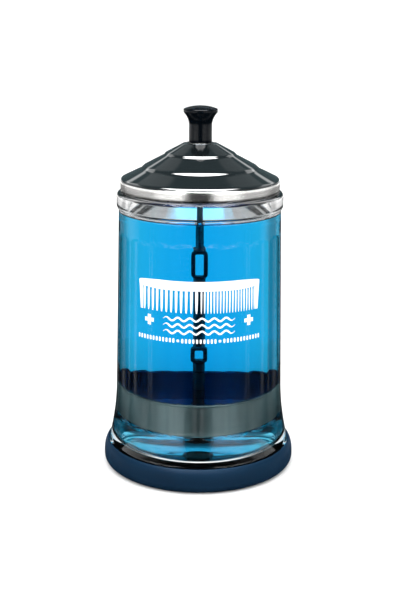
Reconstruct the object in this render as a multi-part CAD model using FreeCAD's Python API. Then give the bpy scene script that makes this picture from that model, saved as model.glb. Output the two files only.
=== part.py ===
import FreeCAD, Part
import math
import os

# Disinfectant jar for salon implements: a heavy glass jar on a rubber ring, a stepped lid,
# and a rod that lifts a steel basket through the lid. Sizes are in millimetres.
# The origin is the centre of the ring's underside, and +Z is up.

# Glass jar, from its mouth outwards and downwards
mouth_radius = 40.6
jar_height = 163.5
finish_wall = 2.8          # the plain upstand that the lid fits over
finish_height = 5.4
rim_round = 0.8
bead_wall = 6.3            # the bead under the lid, measured from the mouth
bead_height = 8.9
bead_round = 1.8
bead_undercut = 60         # degrees of round under the bead
neck_wall = 5.15           # just under the bead
body_draft = 2.3           # how much wider the outside is at the waist than at the neck
cavity_draft = 2.2         # how much wider the inside is at the floor than at the mouth
flare_height = 45.8        # from the underside up to the waist
foot_flare = 4.55          # how far the foot stands out past the waist
foot_height = 12.0         # the upright part that the ring grips
foot_round = 5.0
flare_sag = 0.34           # how hollow the flare is: 0.5 would be straight
floor_thickness = 10.4
floor_round = 6.0
recess_depth = 1.4         # the hollow under the jar
recess_margin = 18.0

# Flutes pressed into the inside of the glass
flute_count = 18
flute_depth = 0.8
flute_land = 1.6           # plain glass between two flutes
flute_top_drop = 32.5      # from the rim to where the arched tops begin
flute_bottom_rise = 15.0   # from the floor

# Rubber base ring
ring_wall = 3.1
ring_floor = 2.1
ring_land = 12.0
ring_corner = 4.6
ring_belly = 6.9           # where the side begins to lean in
ring_crown = 0.9           # how far in the leaning side's middle stands
ring_gap = 0.1

# Lid: gasket, steel band and stepped dome
gasket_thickness = 0.7
gasket_inset = 0.2
band_thickness = 0.5
band_clearance = 0.8
band_drop = 5.0            # how far the band reaches down past the rim
lip_width = 2.1
dome_thickness = 0.8
dome_setback = 0.1
dome_edge = 1.1            # the upright edge of the brim
dome_brim = 1.6
tier_widths = (11.2, 11.3) # the lower two cones
tier_rises = (5.4, 5.9)
step_widths = (1.8, 0.8)   # the steep steps above them
step_rises = (1.7, 1.1)
top_rise = 5.2             # the top cone
seat_rim = 9.6             # the seat pressed into the top for the bush's flange
land_radius = 8.4
seat_depth = 0.5

# Guide bush through the lid
bush_radius = 4.0
bush_fit = 0.05
flange_radius = 7.4
flange_thickness = 0.5
bush_washer_radius = 7.2
bush_washer_thickness = 0.8
bush_nut_flats = 12.0
bush_nut_height = 3.0
bush_tail = 1.0
thread_gap = 0.05

# Lift rod and its two slotted eyes
rod_radius = 1.75
running_gap = 0.06
lift_travel = 53.0
stop_gap = 0.4
eye_width = 6.1
eye_depth = 3.5
upper_eye_length = 15.3
upper_slot_length = 12.3
lower_eye_length = 9.0
lower_slot_length = 5.4
lower_eye_rise = 33.0      # from the basket's floor to the lower eye
slot_width = 1.5
eye_taper = 1.6            # the slanted lower shoulders
eye_corner = 0.4           # the cut upper corners
eye_shoulder = 0.15

# Knob, its washer and its threaded insert
knob_washer_radius = 6.2
knob_washer_thickness = 0.4
stem_radius = 6.5
stem_height = 10.1
flare_rise = 6.4
flare_knee = 3.2           # the height above the stem where the flare is checked
flare_spread = 0.85        # and how far it has spread there
head_radius = 9.55
head_edge = 1.5
head_crown = 2.2
edge_round = 0.4
edge_sweep = 60            # degrees of round between the head's side and its crown
insert_radius = 3.2
insert_length = 12.0
insert_recess = 0.2
rod_top_gap = 1.0

# Basket
basket_clearance = 0.6
basket_rise = 15.6         # from the jar's floor to the basket's underside
basket_height = 19.6
basket_wall_thickness = 0.8
basket_lip = 3.0
rim_radius = 1.0
rim_bite = 0.6             # how far the wall's edge enters the rolled rim
plate_thickness = 1.0
plate_gap = 0.2
hole_radius = 2.0
hole_rings = ((12.0, 8), (20.0, 14), (28.0, 20))
hub_washer_radius = 6.0
hub_washer_thickness = 1.0
hub_nut_flats = 7.0
hub_nut_height = 3.2
foot_top_radius = 5.0
foot_bottom_radius = 7.1
foot_gap = 0.1
foot_bore_floor = 4.0
rod_tail_gap = 0.5

# Heights that several pieces share
glass_bottom = ring_floor
glass_floor = glass_bottom + floor_thickness
rim_height = glass_bottom + jar_height
bead_top = rim_height - finish_height
bead_bottom = bead_top - bead_height
lip_underside = rim_height + gasket_thickness
lip_top = lip_underside + band_thickness
seat_height = lip_top + dome_edge + sum(tier_rises) + sum(step_rises) + top_rise
land_height = seat_height - seat_depth
flange_top = land_height + flange_thickness
bush_end = (land_height - dome_thickness - bush_washer_thickness
            - bush_nut_height - bush_tail)
knob_bottom = flange_top + knob_washer_thickness
knob_bore_top = knob_bottom + insert_recess + insert_length
rod_top = knob_bore_top - rod_top_gap
upper_eye_top = bush_end - lift_travel - stop_gap
upper_eye_bottom = upper_eye_top - upper_eye_length
basket_bottom = glass_floor + basket_rise
plate_underside = basket_bottom + basket_wall_thickness
plate_top = plate_underside + plate_thickness
lower_eye_bottom = plate_top + lower_eye_rise
lower_eye_top = lower_eye_bottom + lower_eye_length
foot_bottom = glass_floor + foot_gap
foot_bore_bottom = foot_bottom + foot_bore_floor
rod_bottom = foot_bore_bottom + rod_tail_gap

# Radii that several pieces share
finish_radius = mouth_radius + finish_wall
bead_radius = mouth_radius + bead_wall
neck_radius = mouth_radius + neck_wall
waist_radius = neck_radius + body_draft
foot_radius = waist_radius + foot_flare
floor_radius = mouth_radius + cavity_draft
ring_radius = foot_radius + ring_wall
band_inner = finish_radius + band_clearance
band_radius = band_inner + band_thickness
dome_radius = band_radius - dome_setback
rim_outer = mouth_radius - basket_clearance
rim_centre = rim_outer - rim_radius
basket_radius = rim_centre + basket_wall_thickness / 2
basket_inner = basket_radius - basket_wall_thickness

Z_AXIS = FreeCAD.Vector(0, 0, 1)
CENTRE = FreeCAD.Vector(0, 0, 0)


class Outline:
    """Half a section, drawn in radius and height, that turns about the Z axis into a solid."""

    def __init__(self, radius, height):
        self.start = FreeCAD.Vector(radius, 0, height)
        self.here = self.start
        self.edges = []

    def line(self, radius, height):
        there = FreeCAD.Vector(radius, 0, height)
        self.edges.append(Part.makeLine(self.here, there))
        self.here = there
        return self

    def arc(self, middle, end):
        middle_point = FreeCAD.Vector(middle[0], 0, middle[1])
        there = FreeCAD.Vector(end[0], 0, end[1])
        self.edges.append(Part.Arc(self.here, middle_point, there).toShape())
        self.here = there
        return self

    def corner(self, centre, radius, first, last):
        """A round corner about centre, between two angles in degrees."""
        on_circle = []
        for degrees in (first, (first + last) / 2, last):
            turn = math.radians(degrees)
            on_circle.append((centre[0] + radius * math.cos(turn),
                              centre[1] + radius * math.sin(turn)))
        self.line(*on_circle[0])
        return self.arc(on_circle[1], on_circle[2])

    def solid(self):
        self.line(self.start.x, self.start.z)
        face = Part.Face(Part.Wire(self.edges))
        return face.revolve(CENTRE, Z_AXIS, 360)


def tube(outer, inner, bottom, top):
    height = top - bottom
    place = FreeCAD.Vector(0, 0, bottom)
    return Part.makeCylinder(outer, height, place).cut(Part.makeCylinder(inner, height, place))


def hexagon(flats, bore, bottom, height):
    sides = 6
    corner_radius = flats / 2 / math.cos(math.pi / sides)
    corners = []
    for side in range(sides + 1):
        turn = 2 * math.pi * side / sides
        corners.append(FreeCAD.Vector(corner_radius * math.cos(turn),
                                      corner_radius * math.sin(turn), bottom))
    prism = Part.Face(Part.makePolygon(corners)).extrude(FreeCAD.Vector(0, 0, height))
    return prism.cut(Part.makeCylinder(bore, height, FreeCAD.Vector(0, 0, bottom)))


def wall_radius(height):
    """The radius of the plain inside wall of the glass at a height."""
    share = (height - glass_floor - floor_round) / (rim_height - glass_floor - floor_round)
    return floor_radius - cavity_draft * share


def flute_tool():
    """A drafted cylinder with a round top that presses one flute at +X."""
    bottom = glass_floor + flute_bottom_rise
    top = rim_height - flute_top_drop
    wall = wall_radius((bottom + top) / 2)
    half_width = math.pi * wall / flute_count - flute_land / 2
    wall_sag = wall - math.sqrt(wall ** 2 - half_width ** 2)
    bite = flute_depth + wall_sag
    tool_radius = (half_width ** 2 + bite ** 2) / (2 * bite)
    foot = FreeCAD.Vector(wall_radius(bottom) + flute_depth - tool_radius, 0, bottom)
    head = FreeCAD.Vector(wall_radius(top) + flute_depth - tool_radius, 0, top)
    run = head - foot
    shaft = Part.makeCylinder(tool_radius, run.Length, foot, run)
    return shaft.fuse(Part.makeSphere(tool_radius, head))


def glass_jar():
    recess_radius = foot_radius - recess_margin
    waist_height = glass_bottom + flare_height
    flare_start = glass_bottom + foot_height
    flare_middle = (waist_radius + foot_flare * flare_sag, (flare_start + waist_height) / 2)
    outline = Outline(0, glass_bottom + recess_depth)
    outline.line(recess_radius, glass_bottom + recess_depth)
    outline.line(recess_radius + recess_depth, glass_bottom)
    outline.corner((foot_radius - foot_round, glass_bottom + foot_round), foot_round, -90, 0)
    outline.line(foot_radius, flare_start)
    outline.arc(flare_middle, (waist_radius, waist_height))
    outline.line(neck_radius, bead_bottom)
    outline.corner((bead_radius - bead_round, bead_bottom + bead_round), bead_round, -bead_undercut, 0)
    outline.corner((bead_radius - bead_round, bead_top - bead_round), bead_round, 0, 90)
    outline.line(finish_radius, bead_top)
    outline.corner((finish_radius - rim_round, rim_height - rim_round), rim_round, 0, 90)
    outline.corner((mouth_radius + rim_round, rim_height - rim_round), rim_round, 90, 180)
    outline.corner((floor_radius - floor_round, glass_floor + floor_round), floor_round, 0, -90)
    outline.line(0, glass_floor)
    jar = outline.solid()
    flute = flute_tool()
    for number in range(flute_count):
        tool = flute.copy()
        tool.rotate(CENTRE, Z_AXIS, 360 * number / flute_count)
        jar = jar.cut(tool)
    return jar


def base_ring():
    inner = foot_radius + ring_gap
    top = glass_bottom + foot_height
    lean = (ring_radius - ring_crown, (ring_belly + top) / 2)
    outline = Outline(ring_radius - ring_corner - ring_land, 0)
    outline.corner((ring_radius - ring_corner, ring_corner), ring_corner, -90, 0)
    outline.line(ring_radius, ring_belly)
    outline.arc(lean, (inner + ring_gap, top))
    outline.line(inner, top)
    outline.corner((inner - foot_round, glass_bottom + foot_round), foot_round, 0, -90)
    outline.line(ring_radius - ring_corner - ring_land, glass_bottom)
    return outline.solid()


def lid_gasket():
    return tube(finish_radius, mouth_radius + gasket_inset, rim_height, lip_underside)


def lid_band():
    outline = Outline(band_inner, rim_height - band_drop)
    outline.line(band_radius, rim_height - band_drop)
    outline.corner((band_radius - band_thickness, lip_top - band_thickness),
                   band_thickness, 0, 90)
    outline.line(band_radius - lip_width, lip_top)
    outline.line(band_radius - lip_width, lip_underside)
    outline.line(band_inner, lip_underside)
    return outline.solid()


def dome_points():
    """The stepped line of the dome, from its brim to the seat in its top."""
    radius = dome_radius
    height = lip_top + dome_edge
    points = [(radius, height)]
    for tier_width, tier_rise, step_width, step_rise in zip(tier_widths, tier_rises,
                                                            step_widths, step_rises):
        radius -= tier_width
        height += tier_rise
        points.append((radius, height))
        radius -= step_width
        height += step_rise
        points.append((radius, height))
    return points + [(seat_rim, seat_height), (land_radius, land_height)]


def lid_dome():
    upper = dome_points()
    hole = bush_radius + bush_fit
    outline = Outline(dome_radius, lip_top)
    for radius, height in upper:
        outline.line(radius, height)
    outline.line(hole, land_height)
    outline.line(hole, land_height - dome_thickness)
    for radius, height in reversed(upper[1:]):
        outline.line(radius - dome_thickness / 2, height - dome_thickness)
    outline.line(dome_radius - dome_brim, lip_top)
    return outline.solid()


def guide_bush():
    bore = rod_radius + running_gap
    shank = tube(bush_radius, bore, bush_end, flange_top)
    return shank.fuse(tube(flange_radius, bore, land_height, flange_top)).removeSplitter()


def bush_washer():
    top = land_height - dome_thickness
    return tube(bush_washer_radius, bush_radius + thread_gap, top - bush_washer_thickness, top)


def bush_nut():
    bottom = bush_end + bush_tail
    return hexagon(bush_nut_flats, bush_radius + thread_gap, bottom, bush_nut_height)


def knob_washer():
    return tube(knob_washer_radius, rod_radius + running_gap, flange_top, knob_bottom)


def knob():
    stem_top = knob_bottom + stem_height
    head_bottom = stem_top + flare_rise
    waist = (stem_radius + flare_spread, stem_top + flare_knee)
    outline = Outline(insert_radius, knob_bottom)
    outline.corner((stem_radius - edge_round, knob_bottom + edge_round), edge_round, -90, 0)
    outline.line(stem_radius, stem_top)
    outline.arc(waist, (head_radius, head_bottom))
    outline.corner((head_radius - edge_round, head_bottom + head_edge), edge_round, 0, edge_sweep)
    reach = outline.here.x
    crown_top = head_bottom + head_edge + head_crown
    crown = crown_top - outline.here.z
    sphere = (reach ** 2 + crown ** 2) / (2 * crown)
    middle_height = crown_top - sphere + math.sqrt(sphere ** 2 - reach ** 2 / 4)
    outline.arc((reach / 2, middle_height), (0, crown_top))
    outline.line(0, knob_bore_top)
    outline.line(insert_radius, knob_bore_top)
    return outline.solid()


def knob_insert():
    return tube(insert_radius, rod_radius, knob_bottom + insert_recess, knob_bore_top)


def rod(bottom, top):
    return Part.makeCylinder(rod_radius, top - bottom, FreeCAD.Vector(0, 0, bottom))


def slotted_eye(bottom, length, slot_length):
    """A flat link with a long slot, brazed between two lengths of the rod."""
    top = bottom + length
    half = eye_width / 2
    neck = rod_radius + eye_shoulder
    outline = [(-neck, bottom), (neck, bottom), (half, bottom + eye_taper),
               (half, top - eye_corner), (half - eye_corner, top),
               (eye_corner - half, top), (-half, top - eye_corner),
               (-half, bottom + eye_taper), (-neck, bottom)]
    corners = [FreeCAD.Vector(x, -eye_depth / 2, z) for x, z in outline]
    plate = Part.Face(Part.makePolygon(corners)).extrude(FreeCAD.Vector(0, eye_depth, 0))
    slot_round = slot_width / 2
    straight = slot_length - slot_width
    slot_start = bottom + (length - straight) / 2
    corner = FreeCAD.Vector(-slot_round, -eye_depth, slot_start)
    slot = Part.makeBox(slot_width, 2 * eye_depth, straight, corner)
    for height in (slot_start, slot_start + straight):
        place = FreeCAD.Vector(0, -eye_depth, height)
        slot = slot.fuse(Part.makeCylinder(slot_round, 2 * eye_depth, place,
                                           FreeCAD.Vector(0, 1, 0)))
    return plate.cut(slot)


def basket_wall():
    top = basket_bottom + basket_height - 2 * rim_radius + rim_bite
    outline = Outline(basket_radius - basket_lip, basket_bottom)
    outline.line(basket_radius, basket_bottom)
    outline.line(basket_radius, top)
    outline.line(basket_inner, top)
    outline.line(basket_inner, plate_underside)
    outline.line(basket_radius - basket_lip, plate_underside)
    return outline.solid()


def basket_rim():
    place = FreeCAD.Vector(0, 0, basket_bottom + basket_height - rim_radius)
    return Part.makeTorus(rim_centre, rim_radius, place).cut(basket_wall())


def basket_floor():
    place = FreeCAD.Vector(0, 0, plate_underside)
    plate = Part.makeCylinder(basket_inner - plate_gap, plate_thickness, place)
    plate = plate.cut(Part.makeCylinder(rod_radius + thread_gap, plate_thickness, place))
    for circle, count in hole_rings:
        for number in range(count):
            turn = 2 * math.pi * number / count
            centre = FreeCAD.Vector(circle * math.cos(turn),
                                    circle * math.sin(turn), plate_underside)
            plate = plate.cut(Part.makeCylinder(hole_radius, plate_thickness, centre))
    return plate


def hub_washer():
    return tube(hub_washer_radius, rod_radius + thread_gap,
                plate_top, plate_top + hub_washer_thickness)


def hub_nut():
    return hexagon(hub_nut_flats, rod_radius + thread_gap,
                   plate_top + hub_washer_thickness, hub_nut_height)


def basket_foot():
    bore = rod_radius + thread_gap
    outline = Outline(0, foot_bottom)
    outline.line(foot_bottom_radius, foot_bottom)
    outline.line(foot_top_radius, plate_underside)
    outline.line(bore, plate_underside)
    outline.line(bore, foot_bore_bottom)
    outline.line(0, foot_bore_bottom)
    return outline.solid()


pieces = {
    "base_ring": base_ring(),
    "glass_jar": glass_jar(),
    "lid_gasket": lid_gasket(),
    "lid_band": lid_band(),
    "lid_dome": lid_dome(),
    "guide_bush": guide_bush(),
    "bush_washer": bush_washer(),
    "bush_nut": bush_nut(),
    "knob_washer": knob_washer(),
    "knob": knob(),
    "knob_insert": knob_insert(),
    "rod_upper": rod(upper_eye_top, rod_top),
    "eye_upper": slotted_eye(upper_eye_bottom, upper_eye_length, upper_slot_length),
    "rod_middle": rod(lower_eye_top, upper_eye_bottom),
    "eye_lower": slotted_eye(lower_eye_bottom, lower_eye_length, lower_slot_length),
    "rod_lower": rod(rod_bottom, lower_eye_bottom),
    "basket_wall": basket_wall(),
    "basket_rim": basket_rim(),
    "basket_floor": basket_floor(),
    "hub_washer": hub_washer(),
    "hub_nut": hub_nut(),
    "basket_foot": basket_foot(),
}

os.makedirs("parts", exist_ok=True)
for name, shape in pieces.items():
    shape.exportStep("parts/" + name + ".step")
    print(name, "solids", len(shape.Solids), "valid", shape.isValid(), "volume", round(shape.Volume, 1))
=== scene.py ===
import math

import bmesh
import bpy
from mathutils import Matrix, Vector


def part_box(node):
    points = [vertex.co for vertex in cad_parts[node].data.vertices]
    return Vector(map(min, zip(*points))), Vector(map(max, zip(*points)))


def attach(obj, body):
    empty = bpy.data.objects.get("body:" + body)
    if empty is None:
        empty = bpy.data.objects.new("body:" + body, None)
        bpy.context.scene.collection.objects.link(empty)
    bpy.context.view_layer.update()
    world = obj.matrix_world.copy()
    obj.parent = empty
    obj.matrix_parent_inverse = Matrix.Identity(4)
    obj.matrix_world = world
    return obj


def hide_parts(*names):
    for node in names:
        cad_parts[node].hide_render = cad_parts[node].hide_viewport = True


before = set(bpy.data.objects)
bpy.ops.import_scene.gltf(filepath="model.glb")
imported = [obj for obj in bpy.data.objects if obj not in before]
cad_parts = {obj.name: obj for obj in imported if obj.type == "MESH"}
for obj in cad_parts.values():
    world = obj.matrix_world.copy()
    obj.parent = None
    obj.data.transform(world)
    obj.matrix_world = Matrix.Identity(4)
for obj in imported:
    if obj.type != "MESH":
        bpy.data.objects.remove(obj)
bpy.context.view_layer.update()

mm = 0.001

# Base ring. A thick ring of dark blue rubber, moulded in one piece and stretched over the foot
# of the jar. It keeps the glass off the counter and stops it sliding.


class Section:
    """Half of a turned piece's outline, as radius and height, with its bends divided into steps."""

    def __init__(self, radius, height):
        self.points = [(radius, height)]

    def line(self, radius, height, steps=1):
        from_radius, from_height = self.points[-1]
        for step in range(1, steps + 1):
            share = step / steps
            self.points.append((from_radius + (radius - from_radius) * share,
                                from_height + (height - from_height) * share))

    def bend(self, centre, radius, first, last, steps=8):
        """A round corner about centre, from one angle to another in degrees."""
        for step in range(steps + 1):
            turn = math.radians(first + (last - first) * step / steps)
            self.points.append((centre[0] + radius * math.cos(turn),
                                centre[1] + radius * math.sin(turn)))

    def sweep(self, pull, end, steps=10):
        """A soft curve to end that leans towards the pull point."""
        start = self.points[-1]
        for step in range(1, steps + 1):
            share = step / steps
            weights = ((1 - share) ** 2, 2 * share * (1 - share), share ** 2)
            self.points.append(tuple(weights[0] * start[axis] + weights[1] * pull[axis]
                                     + weights[2] * end[axis] for axis in (0, 1)))


def round_axis(radius, turn, height):
    return radius * math.cos(turn), radius * math.sin(turn), height


def add_piece(name, shape, crease=32):
    """Closes a bmesh as a smooth-shaded object whose edges stay sharp past the crease angle."""
    bmesh.ops.remove_doubles(shape, verts=shape.verts, dist=1e-7)
    bmesh.ops.recalc_face_normals(shape, faces=shape.faces)
    for face in shape.faces:
        face.smooth = True
    for edge in shape.edges:
        if len(edge.link_faces) == 2 and edge.calc_face_angle(0) > math.radians(crease):
            edge.smooth = False
    mesh = bpy.data.meshes.new(name)
    shape.to_mesh(mesh)
    shape.free()
    piece = bpy.data.objects.new(name, mesh)
    bpy.context.scene.collection.objects.link(piece)
    return piece


def join_rows(shape, lower, upper):
    """Faces between two closed rows of points. Where the rows share a point, they are triangles."""
    for number in range(len(lower)):
        after = (number + 1) % len(lower)
        corners = []
        for corner in (lower[number], lower[after], upper[after], upper[number]):
            if corner not in corners:
                corners.append(corner)
        if len(corners) > 2:
            shape.faces.new(corners)


def turn_piece(name, section, slices=144, crease=32):
    """Turns a section about the Z axis. Points on the axis become poles, other ends join up."""
    shape = bmesh.new()
    rings = []
    for radius, height in section.points:
        if radius < 1e-9:
            rings.append([shape.verts.new((0, 0, height))] * slices)
            continue
        rings.append([shape.verts.new(round_axis(radius, 2 * math.pi * number / slices, height))
                      for number in range(slices)])
    touches_axis = section.points[0][0] < 1e-9 and section.points[-1][0] < 1e-9
    pairs = list(zip(rings, rings[1:]))
    if not touches_axis:
        pairs.append((rings[-1], rings[0]))
    for lower, upper in pairs:
        join_rows(shape, lower, upper)
    return add_piece(name, shape, crease)


def new_group(kind, name, inputs, outputs):
    """A node tree, the sockets of its named inputs and those of its outputs."""
    tree = bpy.data.node_groups.new(name, kind)
    for socket_name, socket_type, *value in inputs:
        socket = tree.interface.new_socket(socket_name, in_out="INPUT",
                                           socket_type="NodeSocket" + socket_type)
        if value:
            socket.default_value = value[0]
    for socket_name, socket_type in outputs:
        tree.interface.new_socket(socket_name, in_out="OUTPUT",
                                  socket_type="NodeSocket" + socket_type)
    return tree, tree.nodes.new("NodeGroupInput").outputs, tree.nodes.new("NodeGroupOutput").inputs


def add_node(tree, kind, links=(), **settings):
    """One node, its settings, and its inputs: a socket to link from or a plain value."""
    node = tree.nodes.new(kind)
    for key, value in settings.items():
        setattr(node, key, value)
    for key, value in dict(links).items():
        if isinstance(value, bpy.types.NodeSocket):
            tree.links.new(value, node.inputs[key])
        else:
            node.inputs[key].default_value = value
    return node


def mix(tree, factor, first, second, blend="MIX"):
    """Two colours mixed by a factor."""
    return add_node(tree, "ShaderNodeMix", {"Factor": factor, 6: first, 7: second},
                    data_type="RGBA", blend_type=blend).outputs[2]


def remap(tree, value, from_low, from_high, to_low=0.0, to_high=1.0, curve="LINEAR"):
    """A value moved from one range into another and kept inside it."""
    return add_node(tree, "ShaderNodeMapRange", {"Value": value, "From Min": from_low,
                    "From Max": from_high, "To Min": to_low, "To Max": to_high},
                    interpolation_type=curve).outputs[0]


def vector(tree, x=0.0, y=0.0, z=0.0):
    return add_node(tree, "ShaderNodeCombineXYZ", {0: x, 1: y, 2: z}).outputs[0]


def new_material(name, **plain):
    """A material with its Principled shader, whose plain values are set on the shader itself."""
    material = bpy.data.materials.new(name)
    material.use_nodes = True
    shader = material.node_tree.nodes["Principled BSDF"]
    for key, value in plain.items():
        shader.inputs[key.replace("_", " ")].default_value = value
    return material, material.node_tree, shader


def settle(piece, material, body, finish_slot, *nodes):
    """Gives a finished piece its material and its body, and hides the CAD nodes that it stands for."""
    piece.data.materials.clear()
    piece.data.materials.append(material)
    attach(piece, body)
    if nodes:
        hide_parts(*nodes)


# Fine speckle and broad patches, as moulded and handled surfaces have.
handled, taken, given = new_group(
    "ShaderNodeTree", "handled_surface",
    [("Grain Scale", "Float", 900.0), ("Patch Scale", "Float", 30.0),
     ("Low", "Float", 0.2), ("High", "Float", 0.4)],
    [("Grain", "Float"), ("Patch", "Float"), ("Roughness", "Float")])
place = add_node(handled, "ShaderNodeTexCoord")
grain = add_node(handled, "ShaderNodeTexNoise", {"Vector": place.outputs["Object"],
                 "Scale": taken["Grain Scale"], "Detail": 4.0, "Roughness": 0.6})
patch = add_node(handled, "ShaderNodeTexNoise", {"Vector": place.outputs["Object"],
                 "Scale": taken["Patch Scale"], "Detail": 5.0, "Roughness": 0.55})
blend = add_node(handled, "ShaderNodeMath", {0: grain.outputs[0], 1: patch.outputs[0]},
                 operation="MULTIPLY")
spread = remap(handled, blend.outputs[0], 0.12, 0.42, taken["Low"], taken["High"])
handled.links.new(grain.outputs[0], given["Grain"])
handled.links.new(patch.outputs[0], given["Patch"])
handled.links.new(spread, given["Roughness"])


def add_group(tree, group, **values):
    node = tree.nodes.new("ShaderNodeGroup")
    node.node_tree = group
    for key, value in values.items():
        node.inputs[key.replace("_", " ")].default_value = value
    return node.outputs


def add_bump(tree, shader, height, strength, distance):
    bump = add_node(tree, "ShaderNodeBump", {"Height": height, "Strength": strength,
                                             "Distance": distance})
    tree.links.new(bump.outputs[0], shader.inputs["Normal"])


def handled_material(name, dark, light, sizes, roughness, bump, **plain):
    """A patchy colour, roughness and fine grain. Bump is its strength and its height."""
    material, tree, shader = new_material(name, **plain)
    surface = add_group(tree, handled, Grain_Scale=sizes[0], Patch_Scale=sizes[1],
                        Low=roughness[0], High=roughness[1])
    shade = mix(tree, surface["Patch"], dark, light)
    tree.links.new(shade, shader.inputs["Base Color"])
    tree.links.new(surface["Roughness"], shader.inputs["Roughness"])
    add_bump(tree, shader, surface["Grain"], *bump)
    return material, tree, shader, shade


ring_low, ring_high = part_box("base_ring")
glass_low, glass_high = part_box("glass_jar")
foot_radius = glass_high.x
ring_radius = ring_high.x - 0.05 * mm
ring_inner = ring_radius - 16 * mm
ring_corner = 4.6 * mm
foot_round = 5 * mm
ring = Section(ring_inner, ring_low.z)
ring.line(ring_radius - 11 * mm, ring_low.z)
ring.line(ring_radius - 10.4 * mm, ring_low.z + 0.5 * mm)
ring.line(ring_radius - 9.2 * mm, ring_low.z + 0.5 * mm)
ring.line(ring_radius - 8.6 * mm, ring_low.z)
ring.bend((ring_radius - ring_corner, ring_low.z + ring_corner), ring_corner, -90, -4, 12)
ring.line(ring_radius - 0.02 * mm, ring_low.z + 6.4 * mm, 3)
ring.sweep((ring_radius - 0.1 * mm, ring_high.z - 2.9 * mm),
           (ring_radius - 1.7 * mm, ring_high.z - 0.6 * mm), 12)
ring.bend((ring_radius - 2.45 * mm, ring_high.z - 0.9 * mm), 0.9 * mm, 30, 120, 6)
ring.line(foot_radius + 0.1 * mm, ring_high.z - 0.3 * mm)
ring.line(foot_radius + 0.1 * mm, glass_low.z + foot_round)
ring.bend((foot_radius - foot_round, glass_low.z + foot_round), foot_round + 0.1 * mm, 0, -90, 6)
ring.line(ring_inner, glass_low.z - 0.1 * mm)
base_ring = turn_piece("base_ring_rubber", ring, slices=192)

rubber, tree, shader, shade = handled_material(
    "navy_rubber", (0.0004, 0.009, 0.024, 1), (0.0010, 0.015, 0.037, 1), (1400.0, 38.0),
    (0.42, 0.66), (0.35, 0.12 * mm), IOR=1.5, Specular_IOR_Level=0.1)
place = add_node(tree, "ShaderNodeTexCoord")
specks = add_node(tree, "ShaderNodeTexVoronoi", {"Vector": place.outputs["Object"], "Scale": 420.0})
dust = remap(tree, specks.outputs["Distance"], 0.03, 0.1, 0.35, 0.0)
dusted = mix(tree, dust, shade, (0.012, 0.034, 0.058, 1))
tree.links.new(dusted, shader.inputs["Base Color"])
settle(base_ring, rubber, "jar", "navy_rubber", "base_ring")

# Glass jar. Clear pressed glass with a thick floor, a flared foot, a bead under the lid and a
# plain upstand at the mouth. The plunger left 18 shallow flutes with arched ends on the inside.

neck_drop = 14.3 * mm                      # from the rim down to the underside of the bead
finish_height = 5.4 * mm
mouth_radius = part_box("lid_gasket")[1].x - 2.8 * mm
finish_radius = mouth_radius + 2.8 * mm
bead_radius = mouth_radius + 6.3 * mm
neck_radius = mouth_radius + 5.15 * mm
waist_radius = neck_radius + 2.3 * mm
floor_radius = mouth_radius + 2.2 * mm
glass_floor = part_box("basket_foot")[0].z - 0.1 * mm
rim = glass_high.z
waist = glass_low.z + 45.8 * mm
flare = glass_low.z + 12.0 * mm
recess = foot_radius - 18 * mm
flute_top = rim - 27.5 * mm
flute_bottom = glass_floor + 15 * mm
floor_round = 6 * mm

jar = Section(0, glass_low.z + 1.4 * mm)
jar.line(recess, glass_low.z + 1.4 * mm, 6)
jar.sweep((recess + 0.8 * mm, glass_low.z + 1.3 * mm), (recess + 1.6 * mm, glass_low.z), 5)
jar.bend((foot_radius - foot_round, glass_low.z + foot_round), foot_round, -90, 0, 10)
jar.line(foot_radius, flare, 3)
jar.sweep((waist_radius + 0.4 * mm, flare + 17 * mm), (waist_radius, waist), 22)
jar.line(neck_radius, rim - neck_drop - 0.8 * mm, 24)
jar.sweep((neck_radius, rim - neck_drop), (neck_radius + 0.7 * mm, rim - neck_drop + 0.2 * mm), 4)
bead_round = 1.7 * mm
bead_low = rim - neck_drop + bead_round
bead_high = rim - finish_height - bead_round
jar.bend((bead_radius - bead_round, bead_low), bead_round, -55, 0, 6)
jar.bend((bead_radius - bead_round, bead_high), bead_round, 0, 90, 8)
jar.line(finish_radius + 0.4 * mm, rim - finish_height)
jar.line(finish_radius, rim - finish_height + 0.4 * mm)
jar.bend((finish_radius - 0.8 * mm, rim - 0.8 * mm), 0.8 * mm, 0, 90, 5)
jar.bend((mouth_radius + 0.8 * mm, rim - 0.8 * mm), 0.8 * mm, 90, 180, 5)
jar.line(mouth_radius + 0.35 * mm, flute_top + 3 * mm, 10)
jar.line(mouth_radius + 0.45 * mm, flute_top - 5 * mm, 20)
jar.line(floor_radius - 0.25 * mm, flute_bottom + 5 * mm, 30)
jar.line(floor_radius - 0.05 * mm, flute_bottom - 2 * mm, 18)
jar.bend((floor_radius - floor_round, glass_floor + floor_round), floor_round, 0, -90, 10)
jar.line(8 * mm, glass_floor, 8)
jar.line(0, glass_floor + 0.01 * mm)
glass_jar = turn_piece("glass_jar_clear", jar, slices=288, crease=60)


def new_shape_tree(name, inputs):
    """A geometry tree that also takes the material of what it makes."""
    return new_group("GeometryNodeTree", name, [("Geometry", "Geometry"), *inputs,
                     ("Material", "Material")], [("Geometry", "Geometry")])


def finish_shape(tree, shape, taken, given):
    """Makes a tree's instances real, gives them the material and puts them out."""
    real = add_node(tree, "GeometryNodeRealizeInstances", {0: shape})
    dressed = add_node(tree, "GeometryNodeSetMaterial", {"Geometry": real.outputs[0],
                                                         "Material": taken["Material"]})
    tree.links.new(dressed.outputs[0], given[0])


def calc(tree, operation, first, second=0.0, third=0.0, clamp=False):
    links = {0: first, 1: second}
    if operation in ("MULTIPLY_ADD", "SMOOTH_MIN", "SMOOTH_MAX"):
        links[2] = third
    node = add_node(tree, "ShaderNodeMath", links, operation=operation, use_clamp=clamp)
    return node.outputs[0]


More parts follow.
